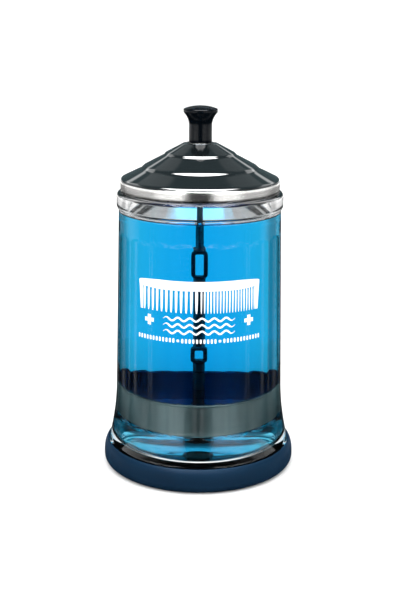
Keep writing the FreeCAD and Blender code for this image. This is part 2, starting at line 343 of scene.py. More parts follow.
def bake_geometry(piece, tree, values=()):
    """Runs a geometry tree on a piece, keeps the result as its plain mesh, and drops the tree."""
    modifier = piece.modifiers.new("shape", "NODES")
    modifier.node_group = tree
    for socket in tree.interface.items_tree:
        if socket.in_out == "INPUT" and socket.name in dict(values):
            modifier[socket.identifier] = dict(values)[socket.name]
    graph = bpy.context.evaluated_depsgraph_get()
    old = piece.data
    mesh = bpy.data.meshes.new_from_object(piece.evaluated_get(graph))
    piece.modifiers.remove(modifier)
    piece.data = mesh
    mesh.name = old.name
    bpy.data.meshes.remove(old)


# Pushes the inside wall out into flutes: hollow across, arched at the top and the bottom.
flutes, taken, given = new_shape_tree("press_flutes", [
    ("Count", "Float", 18.0), ("Depth", "Float", 0.8 * mm),
    ("Width Share", "Float", 0.9), ("Top", "Float", flute_top),
    ("Bottom", "Float", flute_bottom), ("Arch", "Float", 1.6 * mm),
    ("Edge", "Float", 1.3 * mm)])
spot = add_node(flutes, "GeometryNodeInputPosition")
parts = add_node(flutes, "ShaderNodeSeparateXYZ", {0: spot.outputs[0]})
around = calc(flutes, "ARCTAN2", parts.outputs[1], parts.outputs[0])
turns = calc(flutes, "MULTIPLY", around, calc(flutes, "DIVIDE", taken["Count"], 2 * math.pi))
across = calc(flutes, "SUBTRACT", calc(flutes, "FRACT", calc(flutes, "ADD", turns, 0.5)), 0.5)
across = calc(flutes, "DIVIDE", across, calc(flutes, "MULTIPLY", taken["Width Share"], 0.5))
square = calc(flutes, "MULTIPLY", across, across)
hollow = calc(flutes, "SUBTRACT", 1.0, square, clamp=True)
arch = calc(flutes, "MULTIPLY", square, taken["Arch"])
above = calc(flutes, "SUBTRACT", calc(flutes, "SUBTRACT", taken["Top"], arch), parts.outputs[2])
below = calc(flutes, "SUBTRACT", parts.outputs[2], calc(flutes, "ADD", taken["Bottom"], arch))
masks = []
for gap in (above, below):
    masks.append(remap(flutes, gap, 0.0, taken["Edge"], curve="SMOOTHSTEP"))
mask = calc(flutes, "MULTIPLY", calc(flutes, "MULTIPLY", masks[0], masks[1]), hollow)
inner = add_node(flutes, "GeometryNodeInputNamedAttribute", {"Name": "inside"}, data_type="FLOAT")
push = calc(flutes, "MULTIPLY", calc(flutes, "MULTIPLY", mask, inner.outputs[0]),
            taken["Depth"])
level = vector(flutes, parts.outputs[0], parts.outputs[1])
out = add_node(flutes, "ShaderNodeVectorMath", {0: level}, operation="NORMALIZE")
move = add_node(flutes, "ShaderNodeVectorMath", {0: out.outputs[0], "Scale": push},
                operation="SCALE")
shifted = add_node(flutes, "GeometryNodeSetPosition", {"Geometry": taken["Geometry"],
                                                       "Offset": move.outputs[0]})
finish_shape(flutes, shifted.outputs[0], taken, given)


def mark_inside(piece, low, high, reach):
    """Marks the points of the inside wall, so that only they are pushed into flutes."""
    marks = piece.data.attributes.new("inside", "FLOAT", "POINT")
    for index, vertex in enumerate(piece.data.vertices):
        radius = math.hypot(vertex.co.x, vertex.co.y)
        inside = low < vertex.co.z < high and 30 * mm < radius < reach
        marks.data[index].value = 1.0 if inside else 0.0


glass, tree, shader = new_material(
    "clear_glass", Base_Color=(1, 1, 1, 1), IOR=1.5, Transmission_Weight=1.0,
    Specular_Tint=(0.3, 0.3, 0.3, 1))
surface = add_group(tree, handled, Grain_Scale=260.0, Patch_Scale=22.0, Low=0.0, High=0.012)
tree.links.new(surface["Roughness"], shader.inputs["Roughness"])
add_bump(tree, shader, surface["Patch"], 0.05, 1.0 * mm)
mark_inside(glass_jar, glass_floor + 8 * mm, rim - 10 * mm, floor_radius + 0.1 * mm)
bake_geometry(glass_jar, flutes, {"Material": glass})
settle(glass_jar, glass, "jar", "clear_glass", "glass_jar")

# Blue solution. The jar is filled to just under the bead. The filling bites a little way into
# the glass, so that light passes straight from one into the other, and creeps up at its edge.

fill_level = rim - 17.3 * mm
bite = 0.12 * mm
creep = 1.1 * mm
share = (rim - fill_level) / (rim - glass_floor)
fill_radius = mouth_radius + (floor_radius - mouth_radius) * share + bite
fill = Section(0, glass_floor - bite)
fill.line(floor_radius - floor_round, glass_floor - bite, 8)
fill.bend((floor_radius - floor_round, glass_floor + floor_round), floor_round + bite, -90, 0, 10)
fill.line(floor_radius - 0.05 * mm + bite, flute_bottom - 2 * mm, 4)
fill.line(floor_radius - 0.25 * mm + bite, flute_bottom + 5 * mm, 18)
fill.line(mouth_radius + 0.45 * mm + bite, flute_top - 5 * mm, 30)
fill.line(mouth_radius + 0.35 * mm + bite, flute_top + 3 * mm, 20)
fill.line(fill_radius, fill_level + creep, 3)
fill.sweep((fill_radius - 0.5 * mm, fill_level), (fill_radius - 3.5 * mm, fill_level), 8)
fill.line(0, fill_level, 6)
solution_body = turn_piece("blue_solution", fill, slices=288, crease=60)

solution, tree, shader = new_material(
    "blue_solution", Base_Color=(1, 1, 1, 1), IOR=1.33, Roughness=0.0, Transmission_Weight=1.0)
depth = add_node(tree, "ShaderNodeVolumeAbsorption", {"Color": (0.0, 0.815, 0.966, 1),
                                                      "Density": 62.0})
tree.links.new(depth.outputs[0], tree.nodes["Material Output"].inputs["Volume"])
surface = add_group(tree, handled, Grain_Scale=120.0, Patch_Scale=14.0, Low=0.0, High=0.0)
add_bump(tree, shader, surface["Patch"], 0.03, 1.0 * mm)
mark_inside(solution_body, glass_floor + 8 * mm, rim - 10 * mm, floor_radius + 1 * mm)
bake_geometry(solution_body, flutes, {"Material": solution})
settle(solution_body, solution, "jar", "blue_solution")

# Enamel print. Plain white marks are screened onto the outside of the glass and fired: a comb
# over three wave lines, two plus signs and a row of dashes. They carry no words.


def outside_radius(height):
    """The radius of the plain outside of the glass between its waist and its neck."""
    return waist_radius + (neck_radius - waist_radius) * (height - waist) / (rim - neck_drop - waist)


print_lift = 0.05 * mm
print_bite = 0.02 * mm
white = handled_material(
    "white_enamel", (0.80, 0.82, 0.83, 1), (0.96, 0.97, 0.97, 1), (1600.0, 180.0),
    (0.22, 0.4), (0.2, 0.02 * mm), IOR=1.5, Specular_IOR_Level=0.5)[0]


def ribbon(shape, path, widths):
    """A printed stroke along a path of (distance round the glass, height), as a thin closed strip."""
    rows = []
    for number, (along, height) in enumerate(path):
        before = path[max(number - 1, 0)]
        after = path[min(number + 1, len(path) - 1)]
        run = Vector((after[0] - before[0], after[1] - before[1])).normalized()
        half = widths[number] / 2
        row = []
        for side, lift in ((-1, -print_bite), (1, -print_bite), (1, print_lift), (-1, print_lift)):
            at_height = height + side * half * run.x
            radius = outside_radius(at_height)
            turn = (along - side * half * run.y) / radius - math.pi / 2
            row.append(shape.verts.new(round_axis(radius + lift, turn, at_height)))
        rows.append(row)
    for lower, upper in zip(rows, rows[1:]):
        join_rows(shape, lower, upper)
    shape.faces.new(rows[0])
    shape.faces.new(rows[-1])


def even_path(first, last, steps):
    return [(first[0] + (last[0] - first[0]) * step / steps,
             first[1] + (last[1] - first[1]) * step / steps) for step in range(steps + 1)]


comb_half = 36 * mm
comb_top = rim - 46.7 * mm
spine = 5.2 * mm
comb_drop = 17.4 * mm
strokes = bmesh.new()
back = even_path((-comb_half, comb_top - spine / 2), (comb_half, comb_top - spine / 2), 60)
ribbon(strokes, back, [spine * min(1, 0.45 + 0.9 * (1 - abs(along) / comb_half) ** 0.5)
                       for along, height in back])
for side in (-1, 1):
    guard = even_path((side * (comb_half - 1.5 * mm), comb_top - spine / 2),
                      (side * (comb_half - 1.9 * mm), comb_top - comb_drop), 8)
    ribbon(strokes, guard, [(2.9 - 0.15 * step) * mm for step in range(9)])
wave_half = 20 * mm
for middle in (rim - 67.6 * mm, rim - 71.2 * mm, rim - 74.8 * mm):
    wave = [(along, middle + 0.9 * mm * math.sin(2 * math.pi * along / (6.6 * mm)))
            for along, height in even_path((-wave_half, 0), (wave_half, 0), 80)]
    taper = [1.0 * mm * max(0.25, min(1, 6 * (1 - abs(along) / wave_half))) for along, height in wave]
    ribbon(strokes, wave, taper)
plus_half = 2.9 * mm
for side in (-1, 1):
    middle = (side * 28.8 * mm, rim - 69.6 * mm)
    for reach in ((plus_half, 0), (0, plus_half)):
        arm = even_path((middle[0] - reach[0], middle[1] - reach[1]),
                        (middle[0] + reach[0], middle[1] + reach[1]), 4)
        ribbon(strokes, arm, [2.1 * mm] * 5)
print_strokes = add_piece("print_strokes", strokes, crease=40)
settle(print_strokes, white, "jar", "white_print")

# Repeats one small mark round the glass: the comb's teeth and the row of dashes.
marks, taken, given = new_shape_tree("print_row", [
    ("Count", "Int", 12), ("Start Angle", "Float", 0.0),
    ("Step Angle", "Float", 0.05), ("Radius", "Float", 46 * mm),
    ("Height", "Float", 0.1), ("Mark Width", "Float", 1 * mm),
    ("Mark Height", "Float", 9 * mm), ("Taper", "Float", 0.3),
    ("Lean", "Float", 0.0)])
dots = add_node(marks, "GeometryNodePoints", {"Count": taken["Count"]})
index = add_node(marks, "GeometryNodeInputIndex")
angle = calc(marks, "MULTIPLY_ADD", index.outputs[0], taken["Step Angle"],
             taken["Start Angle"])
spot_x = calc(marks, "MULTIPLY", calc(marks, "COSINE", angle), taken["Radius"])
spot_y = calc(marks, "MULTIPLY", calc(marks, "SINE", angle), taken["Radius"])
spots = vector(marks, spot_x, spot_y, taken["Height"])
placed = add_node(marks, "GeometryNodeSetPosition", {"Geometry": dots.outputs[0], "Position": spots})
size = vector(marks, print_lift + print_bite, taken["Mark Width"], taken["Mark Height"])
mark = add_node(marks, "GeometryNodeMeshCube", {"Size": size, "Vertices X": 2,
                                                "Vertices Y": 5, "Vertices Z": 9})
corner = add_node(marks, "GeometryNodeInputPosition")
at = add_node(marks, "ShaderNodeSeparateXYZ", {0: corner.outputs[0]})
down = calc(marks, "SUBTRACT", 0.5, calc(marks, "DIVIDE", at.outputs[2], taken["Mark Height"]))
end = calc(marks, "POWER", calc(marks, "ABSOLUTE", calc(marks, "MULTIPLY_ADD", down, 2.0, -1.0)), 6.0)
slim = calc(marks, "MULTIPLY", calc(marks, "SUBTRACT", 1.0, calc(marks, "MULTIPLY", end, 0.45)),
            calc(marks, "SUBTRACT", 1.0, calc(marks, "MULTIPLY", down, taken["Taper"])))
narrow = calc(marks, "MULTIPLY", at.outputs[1], slim)
lean_in = calc(marks, "ADD", at.outputs[0], calc(marks, "MULTIPLY", at.outputs[2], taken["Lean"]))
moved = vector(marks, lean_in, narrow, at.outputs[2])
tapered = add_node(marks, "GeometryNodeSetPosition", {"Geometry": mark.outputs["Mesh"],
                                                      "Position": moved})
row = add_node(marks, "GeometryNodeInstanceOnPoints", {"Points": placed.outputs[0],
               "Instance": tapered.outputs[0], "Rotation": vector(marks, z=angle)})
finish_shape(marks, row.outputs[0], taken, given)


def print_row(name, height, mark_width, mark_height, pitch, first, last, taper):
    """A row of printed marks between two distances round the front of the glass."""
    radius = outside_radius(height) + (print_lift - print_bite) / 2
    count = int((last - first) / pitch + 1.5)
    lean = (neck_radius - waist_radius) / (rim - neck_drop - waist)
    piece = bpy.data.objects.new(name, bpy.data.meshes.new(name))
    bpy.context.scene.collection.objects.link(piece)
    bake_geometry(piece, marks, {
        "Count": count, "Start Angle": first / radius - math.pi / 2,
        "Step Angle": (last - first) / (count - 1) / radius, "Radius": radius, "Height": height,
        "Mark Width": mark_width, "Mark Height": mark_height, "Taper": taper, "Lean": lean,
        "Material": white})
    settle(piece, white, "jar", "white_print")


tooth_top = comb_top - spine + 0.6 * mm
tooth_middle = (tooth_top + comb_top - comb_drop) / 2
tooth_length = tooth_top - comb_top + comb_drop
print_row("print_comb_coarse", tooth_middle, 1.7 * mm, tooth_length, 2.9 * mm,
          -32.0 * mm, -1.4 * mm, 0.4)
print_row("print_comb_fine", tooth_middle, 1.0 * mm, tooth_length, 1.75 * mm,
          1.2 * mm, 32.4 * mm, 0.4)
dash_height = rim - 79.6 * mm
for number, (first, last) in enumerate(((-comb_half, -14 * mm), (-9 * mm, 9 * mm),
                                        (14 * mm, comb_half))):
    print_row("print_dashes_" + str(number + 1), dash_height, 1.1 * mm, 2.4 * mm, 2.0 * mm,
              first, last, 0.0)
print_row("print_dots", dash_height, 1.4 * mm, 1.4 * mm, 23 * mm, -11.5 * mm, 11.5 * mm, 0.0)

# Basket foot. A flared pedestal under the basket: it screws onto the rod's end and stands on
# the jar's floor, so that the basket stays clear of the sediment.

foot_low, foot_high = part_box("basket_foot")
foot = Section(0, foot_low.z + 0.6 * mm)
foot.line(4.6 * mm, foot_low.z + 0.6 * mm)
foot.line(5.0 * mm, foot_low.z)
foot.bend((foot_high.x - 0.6 * mm, foot_low.z + 0.6 * mm), 0.6 * mm, -90, 10, 5)
foot.line(foot_high.x - 0.5 * mm, foot_low.z + 2.6 * mm)
foot.sweep((5.4 * mm, foot_low.z + 4.5 * mm), (5.0 * mm, foot_high.z - 1.2 * mm), 8)
foot.bend((4.7 * mm, foot_high.z - 0.3 * mm), 0.3 * mm, 0, 90, 3)
foot.line(1.7 * mm, foot_high.z)
foot.line(0, foot_high.z)
basket_foot = turn_piece("basket_foot_turned", foot, slices=72)

black = handled_material(
    "black_plastic", (0.0004, 0.001, 0.0022, 1), (0.001, 0.0025, 0.0045, 1), (700.0, 60.0),
    (0.12, 0.3), (0.12, 0.05 * mm), IOR=1.5, Specular_IOR_Level=0.1)[0]
settle(basket_foot, black, "lift", "black_plastic", "basket_foot")

# Basket. A drawn band of stainless steel with an inward lip, a rolled rim, and a perforated
# plate resting on the lip, so that the solution drains as the basket comes up.

# Long, fine brush lines. They run round the axis, or outwards from it when Radial is 1.
brushed, taken, given = new_group(
    "ShaderNodeTree", "brush_lines",
    [("Radial", "Float", 0.0), ("Fineness", "Float", 4000.0),
     ("Low", "Float", 0.18), ("High", "Float", 0.36)],
    [("Lines", "Float"), ("Roughness", "Float"), ("Stain", "Float")])
place = add_node(brushed, "ShaderNodeTexCoord")
apart = add_node(brushed, "ShaderNodeSeparateXYZ", {0: place.outputs["Object"]})
flat = vector(brushed, apart.outputs[0], apart.outputs[1])
outward = add_node(brushed, "ShaderNodeVectorMath", {0: flat}, operation="LENGTH")
along = add_node(brushed, "ShaderNodeMix", {"Factor": taken["Radial"],
                 2: apart.outputs[2], 3: outward.outputs["Value"]})
fine = calc(brushed, "MULTIPLY", along.outputs[0], taken["Fineness"])
slow_x = calc(brushed, "MULTIPLY", apart.outputs[0], 18.0)
slow_y = calc(brushed, "MULTIPLY", apart.outputs[1], 18.0)
lines = add_node(brushed, "ShaderNodeTexNoise", {"Vector": vector(brushed, slow_x, slow_y, fine),
                 "Scale": 1.0,
                 "Detail": 3.0, "Roughness": 0.7})
stain = add_node(brushed, "ShaderNodeTexNoise", {"Vector": place.outputs["Object"],
                 "Scale": 55.0, "Detail": 6.0, "Roughness": 0.6})
spread = remap(brushed, lines.outputs[0], 0.3, 0.7, taken["Low"], taken["High"])
brushed.links.new(lines.outputs[0], given["Lines"])
brushed.links.new(spread, given["Roughness"])
brushed.links.new(stain.outputs[0], given["Stain"])


def brushed_steel(name, dark, light, radial, fineness, low, high, depth_of_lines):
    """Brushed stainless steel, a little cloudy where it has been wiped."""
    material, tree, shader = new_material(name, Metallic=1.0)
    surface = add_group(tree, brushed, Radial=radial, Fineness=fineness, Low=low, High=high)
    factor = calc(tree, "MULTIPLY_ADD", surface["Lines"], 0.6,
                  calc(tree, "MULTIPLY", surface["Stain"], 0.4))
    tree.links.new(mix(tree, factor, dark, light), shader.inputs["Base Color"])
    tree.links.new(surface["Roughness"], shader.inputs["Roughness"])
    add_bump(tree, shader, surface["Lines"], 0.25, depth_of_lines)
    return material


basket_steel = brushed_steel("basket_steel", (0.26, 0.27, 0.27, 1), (0.46, 0.47, 0.46, 1),
                             0.0, 2600.0, 0.3, 0.5, 0.03 * mm)
wall_low, wall_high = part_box("basket_wall")
steel = 0.8 * mm
lip = 3 * mm
wall = Section(wall_high.x - lip, wall_low.z)
wall.bend((wall_high.x - 1.2 * mm, wall_low.z + 1.2 * mm), 1.2 * mm, -90, 0, 6)
wall.line(wall_high.x, wall_high.z, 4)
wall.line(wall_high.x - steel, wall_high.z)
wall.bend((wall_high.x - 1.2 * mm, wall_low.z + 1.2 * mm), 1.2 * mm - steel, 0, -90, 4)
wall.line(wall_high.x - lip, wall_low.z + steel)
basket_wall = turn_piece("basket_wall_band", wall, slices=192)
settle(basket_wall, basket_steel, "lift", "basket_steel", "basket_wall")

rolled_low, rolled_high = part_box("basket_rim")
roll = (rolled_high.z - rolled_low.z) / 2
roll_height = rolled_high.z - roll
roll_radius = rolled_high.x - roll
rolled = Section(roll_radius - 0.2 * mm, roll_height - roll)
rolled.bend((roll_radius, roll_height + 0.05 * mm), roll * 0.94, -75, 200, 22)
rolled.line(roll_radius - 0.9 * mm, roll_height - 0.9 * mm)
basket_rim = turn_piece("basket_rim_rolled", rolled, slices=192)
settle(basket_rim, basket_steel, "lift", "basket_steel", "basket_rim")

plate_low, plate_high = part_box("basket_floor")
plate = Section(2.0 * mm, plate_low.z)
plate.line(plate_high.x - 0.2 * mm, plate_low.z)
plate.line(plate_high.x, plate_low.z + 0.2 * mm)
plate.line(plate_high.x, plate_high.z - 0.2 * mm)
plate.line(plate_high.x - 0.2 * mm, plate_high.z)
plate.line(2.0 * mm, plate_high.z)
basket_floor = turn_piece("basket_floor_plate", plate, slices=96)

# Punches rings of drain holes through the plate.
punch, taken, given = new_shape_tree("punch_drain_holes", [
    ("Hole Radius", "Float", 2.0 * mm), ("Plate Height", "Float", 0.0)])
drill = add_node(punch, "GeometryNodeMeshCylinder", {"Vertices": 20, "Depth": 6 * mm,
                 "Radius": taken["Hole Radius"]}, fill_type="NGON")
joined = punch.nodes.new("GeometryNodeJoinGeometry")
for distance, count in ((12 * mm, 8), (20 * mm, 14), (28 * mm, 20)):
    circle = add_node(punch, "GeometryNodeMeshCircle", {"Vertices": count, "Radius": distance})
    drills = add_node(punch, "GeometryNodeInstanceOnPoints", {"Points": circle.outputs[0],
                                                              "Instance": drill.outputs["Mesh"]})
    punch.links.new(drills.outputs[0], joined.inputs[0])
raised = add_node(punch, "GeometryNodeTransform", {"Geometry": joined.outputs[0],
                  "Translation": vector(punch, z=taken["Plate Height"])})
solid_drills = add_node(punch, "GeometryNodeRealizeInstances", {0: raised.outputs[0]})
holed = add_node(punch, "GeometryNodeMeshBoolean", {"Mesh 1": taken["Geometry"],
                 "Mesh 2": solid_drills.outputs[0]}, operation="DIFFERENCE", solver="EXACT")
finish_shape(punch, holed.outputs["Mesh"], taken, given)
plate_steel = brushed_steel("plate_steel", (0.36, 0.37, 0.37, 1), (0.58, 0.59, 0.58, 1),
                            1.0, 1800.0, 0.3, 0.5, 0.03 * mm)
bake_geometry(basket_floor, punch, {"Plate Height": (plate_low.z + plate_high.z) / 2,
                                    "Material": plate_steel})
settle(basket_floor, plate_steel, "lift", "basket_steel", "basket_floor")

# Rod and eyes. Three lengths of drawn steel rod with two flat slotted links brazed between
# them. The upper link is wider than the bush, so it stops the rod when the basket is lifted.

rod_bore = 1.81 * mm
rod_steel = brushed_steel("rod_steel", (0.10, 0.11, 0.12, 1), (0.24, 0.25, 0.26, 1),
                          0.0, 900.0, 0.22, 0.42, 0.02 * mm)
for name, ends in (("rod_lower", (False, True)), ("rod_middle", (True, True)),
                   ("rod_upper", (True, False))):
    low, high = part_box(name)
    radius = high.x - 0.01 * mm
    braze = 0.35 * mm
    length = Section(0, low.z)
    if ends[0]:
        length.line(radius + braze, low.z)
        length.sweep((radius, low.z + 0.1 * mm), (radius, low.z + 0.9 * mm), 4)
    else:
        length.line(radius - 0.3 * mm, low.z)
        length.line(radius, low.z + 0.3 * mm)
    if ends[1]:
        length.line(radius, high.z - 0.9 * mm, 6)
        length.sweep((radius, high.z - 0.1 * mm), (radius + braze, high.z), 4)
    else:
        length.line(radius, high.z - 0.3 * mm, 6)
        length.line(radius - 0.3 * mm, high.z)
    length.line(0, high.z)
    settle(turn_piece(name + "_drawn", length, slices=40), rod_steel, "lift", "rod_steel", name)


def slotted_link(name, low, high, slot_length):
    """A flat link with rounded shoulders and a long slot, filed smooth at its edges."""
    half = high.x - 0.02 * mm
    depth_half = high.y - 0.02 * mm
    neck = 2.1 * mm
    middle = (low.z + high.z) / 2
    slot_half = 0.75 * mm
    straight = slot_length / 2 - slot_half
    steps = 12
    outer, inner = [], []
    for step in range(4 * steps):
        turn = 2 * math.pi * step / (4 * steps)
        cos, sin = math.cos(turn), math.sin(turn)
        inner.append((slot_half * cos, middle + slot_half * sin
                      + (straight if sin >= 0 else -straight)))
        side = math.copysign(abs(cos) ** 0.35, cos)
        rise = math.copysign(abs(sin) ** 0.35, sin)
        shoulder = (high.z - middle) * rise
        width = half if rise > -0.8 else neck + (half - neck) * (1 + rise) / 0.2
        outer.append((width * side, middle + shoulder))
    shape = bmesh.new()
    front_outer, back_outer, front_inner, back_inner = (
        [shape.verts.new((x, y, z)) for x, z in outline]
        for outline, y in ((outer, -depth_half), (outer, depth_half),
                           (inner, -depth_half), (inner, depth_half)))
    for lower, upper in ((front_outer, front_inner), (back_inner, back_outer),
                         (front_inner, back_inner), (back_outer, front_outer)):
        join_rows(shape, lower, upper)
    link = add_piece(name, shape, crease=40)
    bevel = link.modifiers.new("filed_edges", "BEVEL")
    bevel.width = 0.3 * mm
    bevel.segments = 3
    bevel.limit_method = "ANGLE"
    bevel.angle_limit = math.radians(50)
    return link


for name, slot_length in (("eye_upper", 12.3 * mm), ("eye_lower", 5.4 * mm)):
    low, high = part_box(name)
    link = slotted_link(name + "_link", low, high, slot_length)
    settle(link, rod_steel, "lift", "rod_steel", name)

# Fasteners. Plain plated washers and nuts: under the dome they hold the bush, and in the
# basket they clamp its floor to the rod. The knob rests on a washer of its own.

bush_hole = 4.05 * mm
plated = brushed_steel("plated_steel", (0.40, 0.40, 0.39, 1), (0.62, 0.62, 0.60, 1),
                       1.0, 1500.0, 0.25, 0.45, 0.02 * mm)


def washer(name, node, bore, body):
    low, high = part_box(node)
    edge = 0.12 * mm
    outline = Section(bore, low.z)
    outline.line(high.x - edge, low.z)
    outline.line(high.x, low.z + edge)
    outline.line(high.x, high.z - edge)
    outline.line(high.x - edge, high.z)
    outline.line(bore + edge, high.z)
    outline.line(bore, high.z - edge)
    settle(turn_piece(name, outline, slices=72), plated, body, "fastener_steel", node)


def hex_nut(name, node, bore, body):
    """A nut with turned chamfers above and below its six flats."""
    low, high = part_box(node)
    corner = high.x
    flat_half = corner * math.cos(math.pi / 6)
    chamfer = 0.35 * mm
    slices = 72
    turns = [2 * math.pi * number / slices for number in range(slices)]
    shape = bmesh.new()
    rows = []
    for height, limit in ((low.z, flat_half), (low.z + chamfer, corner),
                          (high.z - chamfer, corner), (high.z, flat_half)):
        row = []
        for turn in turns:
            from_flat = (turn + math.pi / 6) % (math.pi / 3) - math.pi / 6
            radius = min(limit, flat_half / math.cos(math.pi / 6 - abs(from_flat)))
            row.append(shape.verts.new(round_axis(radius, turn, height)))
        rows.append(row)
    for height in (high.z, low.z):
        rows.append([shape.verts.new(round_axis(bore, turn, height)) for turn in turns])
    for lower, upper in zip(rows, rows[1:] + rows[:1]):
        join_rows(shape, lower, upper)
    settle(add_piece(name, shape, crease=28), plated, body, "fastener_steel", node)


hub_bore = 1.8 * mm
washer("hub_washer_plated", "hub_washer", hub_bore, "lift")
hex_nut("hub_nut_plated", "hub_nut", hub_bore, "lift")
washer("bush_washer_plated", "bush_washer", bush_hole, "lid")
hex_nut("bush_nut_plated", "bush_nut", bush_hole, "lid")
washer("knob_washer_plated", "knob_washer", rod_bore, "slider")

# Lid gasket. A soft, milky ring between the rim of the jar and the lid. It keeps the steel
# off the glass and comes away with the lid.

gasket_low, gasket_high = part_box("lid_gasket")
gasket = Section(mouth_radius + 0.2 * mm, gasket_low.z + 0.1 * mm)
gasket.line(mouth_radius + 0.35 * mm, gasket_low.z)
gasket.bend((gasket_high.x - 0.3 * mm, gasket_low.z + 0.3 * mm), 0.3 * mm, -90, 0, 3)
gasket.bend((gasket_high.x - 0.3 * mm, gasket_high.z - 0.3 * mm), 0.3 * mm, 0, 90, 3)
gasket.line(mouth_radius + 0.35 * mm, gasket_high.z)
gasket.line(mouth_radius + 0.2 * mm, gasket_high.z - 0.1 * mm)
lid_gasket = turn_piece("lid_gasket_ring", gasket, slices=144)
milky = handled_material(
    "milky_rubber", (0.46, 0.52, 0.54, 1), (0.62, 0.66, 0.68, 1), (800.0, 60.0),
    (0.4, 0.6), (0.2, 0.05 * mm), IOR=1.45, Subsurface_Weight=0.2, Subsurface_Scale=1.0 * mm)[0]
settle(lid_gasket, milky, "gasket", "gasket_rubber", "lid_gasket")

# Lid band. A strip of stainless steel, brushed round and round, rolled into the ring that
# fits over the mouth of the jar. Its top edge turns in under the dome.

band_low, band_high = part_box("lid_band")
band_radius = band_high.x - 0.02 * mm
band = Section(band_radius - 0.5 * mm, band_low.z + 0.2 * mm)
band.bend((band_radius - 0.25 * mm, band_low.z + 0.25 * mm), 0.25 * mm, -160, 0, 6)
band.line(band_radius, band_high.z - 0.35 * mm, 4)
band.bend((band_radius - 0.35 * mm, band_high.z - 0.35 * mm), 0.35 * mm, 0, 90, 7)
band.line(band_radius - 2.1 * mm, band_high.z)
band.line(band_radius - 2.1 * mm, band_high.z - 0.5 * mm)
band.line(band_radius - 0.5 * mm, band_high.z - 0.5 * mm)
lid_band = turn_piece("lid_band_brushed", band, slices=192)
band_steel = brushed_steel("band_steel", (0.50, 0.50, 0.49, 1), (0.80, 0.79, 0.77, 1),
                           0.0, 5200.0, 0.12, 0.26, 0.02 * mm)
settle(lid_band, band_steel, "lid", "brushed_band", "lid_band")

# Lid dome. A steel pressing that rises in three shallow cones with a small steep step between
# them, under a mirror gloss. Its near-black colour is a painted reflection of a dark room.
# Its centre is dished and pierced for the bush.

dome_low, dome_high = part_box("lid_dome")
dome_radius = dome_high.x - 0.02 * mm
skin = 0.8 * mm
brim_edge = 1.1 * mm
seat_rim = 9.6 * mm
seat_depth = 0.5 * mm
land = 8.4 * mm
# Each cone's width and rise, and those of the step above it.
cones = ((11.2 * mm, 5.4 * mm, 1.8 * mm, 1.7 * mm), (11.3 * mm, 5.9 * mm, 0.8 * mm, 1.1 * mm))


def dome_side(drop, inward):
    """The knees of the stepped side, from the brim upwards, moved down and in by the skin."""
    radius, height = dome_radius - inward, dome_low.z + brim_edge - drop
    knees = []
    for cone_width, cone_rise, step_width, step_rise in cones:
        for width, rise in ((cone_width, cone_rise), (step_width, step_rise)):
            radius -= width
            height += rise
            knees.append((radius, height))
    knees.append((seat_rim - inward, dome_high.z - drop))
    knees.append((land - inward, dome_high.z - seat_depth - drop))
    return knees


def round_knee(section, before, knee, after, cut):
    """Leads the section to a knee and round it with a small soft bend."""
    near = (Vector(before) - Vector(knee)).normalized() * cut + Vector(knee)
    far = (Vector(after) - Vector(knee)).normalized() * cut + Vector(knee)
    section.line(near.x, near.y, 3)
    section.sweep(knee, tuple(far), 8)


dome = Section(dome_radius - 1.6 * mm, dome_low.z)
dome.line(dome_radius - 0.5 * mm, dome_low.z)
dome.bend((dome_radius - 0.3 * mm, dome_low.z + 0.3 * mm), 0.3 * mm, -80, 0, 5)
dome.sweep((dome_radius, dome_low.z + brim_edge),
           (dome_radius - 1.7 * mm, dome_low.z + brim_edge + 0.82 * mm), 14)
knees = dome_side(0, 0)
path = [dome.points[-1]] + knees + [(bush_hole, dome_high.z - seat_depth)]
for number, cut in enumerate((1.15 * mm, 1.15 * mm, 0.6 * mm, 0.6 * mm, 0.5 * mm, 0.4 * mm), 1):
    round_knee(dome, path[number - 1], path[number], path[number + 1], cut)
dome.line(bush_hole, dome_high.z - seat_depth, 2)
dome.line(bush_hole, dome_high.z - seat_depth - skin)
for radius, height in reversed(dome_side(skin, skin / 2)):
    dome.line(radius, height, 2)
lid_dome = turn_piece("lid_dome_gloss", dome, slices=240, crease=50)

# The near-black base colour is a painted reflection of a dark room; the coat's mirror gloss over it is
# real.
dome_painted_reflection, tree, shader, shade = handled_material(
    "black_enamel", (0.004, 0.006, 0.007, 1), (0.008, 0.011, 0.012, 1), (300.0, 45.0),
    (0.03, 0.09), (0.04, 0.02 * mm), IOR=1.6, Specular_IOR_Level=0.6, Coat_Weight=1.0,
    Coat_Roughness=0.015, Coat_IOR=1.6)
spin = add_group(tree, brushed, Radial=1.0, Fineness=1500.0, Low=0.0, High=1.0)
tree.links.new(spin["Lines"], shader.inputs["Normal"].links[0].from_node.inputs["Height"])
settle(lid_dome, dome_painted_reflection, "lid", "black_enamel", "lid_dome")

# Guide bush. A flanged steel tube pushed through the dome and held by its nut. The rod runs
# up and down in it with a tenth of a millimetre to spare.

bush_low, bush_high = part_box("guide_bush")
bush_tail = 4.0 * mm
bush_chamfer = 0.3 * mm
flange = 0.5 * mm
bush = Section(rod_bore, bush_low.z)
bush.line(bush_tail - bush_chamfer, bush_low.z)
bush.line(bush_tail, bush_low.z + bush_chamfer)
bush.line(bush_tail, bush_high.z - flange, 3)
bush.line(bush_high.x - 0.1 * mm, bush_high.z - flange)
bush.line(bush_high.x, bush_high.z - 0.4 * mm)
bush.bend((bush_high.x - 0.3 * mm, bush_high.z - 0.3 * mm), 0.3 * mm, 0, 90, 4)
bush.line(rod_bore + 0.2 * mm, bush_high.z)
bush.line(rod_bore, bush_high.z - 0.2 * mm)
guide_bush = turn_piece("guide_bush_turned", bush, slices=72)
